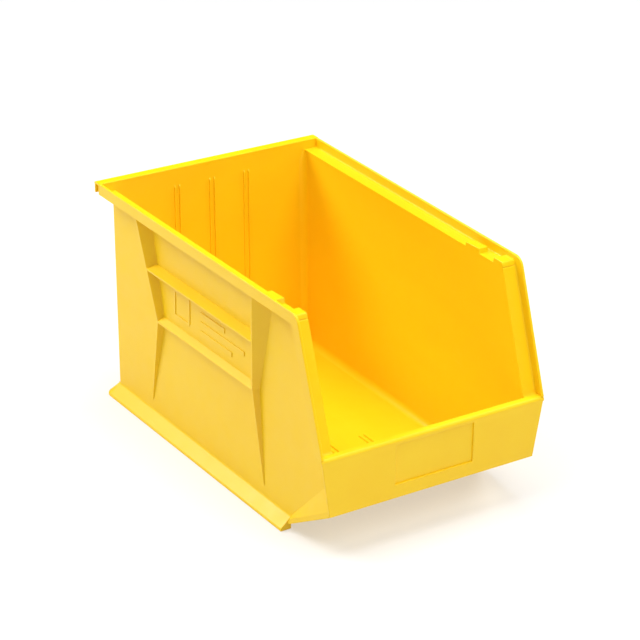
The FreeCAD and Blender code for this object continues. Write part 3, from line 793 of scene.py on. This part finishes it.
class BIN_OT_dividers(bpy.types.Operator):
    """Make the divider ribs on the back wall and the floor"""

    bl_idname = "storage_bin.dividers"
    bl_label = "Divider ribs"

    def execute(self, context):
        settings = context.scene.bin_dividers
        pair_tree()
        across = Vector((1, 0, 0))
        low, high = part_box(BACK_RIBS[1])
        foot = Vector((0, high.y - LEAN / BIN_HEIGHT * (high.z - low.z), low.z))
        head = Vector((0, high.y, high.z))
        forward = across.cross(head - foot).normalized()
        rib = low_rib((foot, head), across, forward, settings.width, settings.height)
        repeated_ribs("back_divider_ribs", rib, settings, BACK_RIBS)
        low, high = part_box(FLOOR_RIBS[1])
        run = (Vector((0, high.y, low.z)), Vector((0, low.y, low.z)))
        rib = low_rib(run, across, Vector((0, 0, 1)), settings.width, settings.height)
        repeated_ribs("floor_divider_ribs", rib, settings, FLOOR_RIBS)
        return {"FINISHED"}


class BIN_OT_marks(bpy.types.Operator):
    """Finish the plain raised marks on the left side"""

    bl_idname = "storage_bin.marks"
    bl_label = "Raised marks"

    def execute(self, context):
        edges = context.scene.bin_edges
        finish_nodes(MARKS, "mark_plastic", edges.mark_radius, edges.segments)
        return {"FINISHED"}


class BIN_OT_stage(bpy.types.Operator):
    """Set the floor, the lights and the camera"""

    bl_idname = "storage_bin.stage"
    bl_label = "Stage"

    def execute(self, context):
        settings = context.scene.bin_stage
        self.floor(settings)
        self.lights(settings)
        self.camera(settings)
        return {"FINISHED"}

    def floor(self, settings):
        material = bpy.data.materials.new("pale_floor")
        material.use_nodes = True
        tree = material.node_tree
        shader = tree.nodes["Principled BSDF"]
        place = tree.nodes.new("ShaderNodeTexCoord").outputs["Object"]
        paper = spread(tree, noise(tree, place, scale=3.0), low=0.3, high=0.7, out_low=0.88, out_high=0.94)
        tree.links.new(paper, shader.inputs["Roughness"])
        shader.inputs["Base Color"].default_value = (*settings.floor_colour, 1)
        shader.inputs["Emission Color"].default_value = (1.0, 1.0, 1.0, 1)
        shader.inputs["Emission Strength"].default_value = settings.floor_glow
        mesh = bpy.data.meshes.new("floor")
        corners = [(x * FLOOR_REACH, y * FLOOR_REACH, 0) for x, y in ((-1, -1), (1, -1), (1, 1), (-1, 1))]
        mesh.from_pydata(corners, [], [(0, 1, 2, 3)])
        mesh.materials.append(material)
        floor = bpy.data.objects.new("floor", mesh)
        bpy.context.scene.collection.objects.link(floor)

    def lights(self, settings):
        world = bpy.data.worlds.new("even_sky")
        bpy.context.scene.world = world
        world.use_nodes = True
        sky = world.node_tree.nodes["Background"]
        sky.inputs["Color"].default_value = (1.0, 1.0, 1.0, 1)
        sky.inputs["Strength"].default_value = settings.sky
        bpy.context.scene.view_settings.view_transform = "Standard"
        for name, spot, size, share in LAMPS:
            light = bpy.data.lights.new(name, "AREA")
            light.shape = "DISK"
            light.size = size
            light.energy = settings.power * share
            lamp = bpy.data.objects.new(name, light)
            lamp.location = spot
            aim = LAMP_AIM - Vector(spot)
            lamp.rotation_euler = aim.to_track_quat("-Z", "Y").to_euler()
            bpy.context.scene.collection.objects.link(lamp)

    def camera(self, settings):
        low, high = (Vector(corner) for corner in CAD_BOX)
        middle = (low + high) / 2
        target = Vector((middle.x, middle.y - settings.target_forward, settings.target_height * high.z))
        around = settings.azimuth
        rise = settings.elevation
        back = Vector((math.sin(around) * math.cos(rise), -math.cos(around) * math.cos(rise), math.sin(rise)))
        right = Vector((math.cos(around), math.sin(around), 0))
        up = back.cross(right)
        turned = right * math.cos(settings.roll) + up * math.sin(settings.roll)
        data = bpy.data.cameras.new("camera")
        data.lens = settings.lens
        data.sensor_width = 36.0
        camera = bpy.data.objects.new("camera", data)
        axes = Matrix((turned, back.cross(turned), back)).transposed().to_4x4()
        camera.matrix_world = Matrix.Translation(target + back * settings.distance) @ axes
        bpy.context.scene.collection.objects.link(camera)
        bpy.context.scene.camera = camera


OPERATORS = (
    BIN_OT_plastics, BIN_OT_tub, BIN_OT_rim, BIN_OT_front, BIN_OT_base,
    BIN_OT_stiffening, BIN_OT_soft_corners, BIN_OT_dividers, BIN_OT_marks, BIN_OT_stage,
)


class BIN_PT_panel(bpy.types.Panel):
    """The steps that finish the bin"""

    bl_label = "Storage Bin"
    bl_idname = "BIN_PT_panel"
    bl_space_type = "VIEW_3D"
    bl_region_type = "UI"
    bl_category = "Storage Bin"

    def draw(self, context):
        for operator in OPERATORS:
            self.layout.operator(operator.bl_idname)


SETTINGS = {
    "bin_plastic": PlasticSettings,
    "bin_edges": EdgeSettings,
    "bin_corners": CornerSettings,
    "bin_dividers": DividerSettings,
    "bin_stage": StageSettings,
}


def register():
    for kind in (*SETTINGS.values(), *OPERATORS, BIN_PT_panel):
        bpy.utils.register_class(kind)
    for name, kind in SETTINGS.items():
        setattr(bpy.types.Scene, name, PointerProperty(type=kind))


def unregister():
    for name in SETTINGS:
        delattr(bpy.types.Scene, name)
    for kind in reversed((*SETTINGS.values(), *OPERATORS, BIN_PT_panel)):
        bpy.utils.unregister_class(kind)


def main():
    register()
    for operator in OPERATORS:
        group, step = operator.bl_idname.split(".")
        getattr(getattr(bpy.ops, group), step)()


if __name__ == "__main__":
    main()
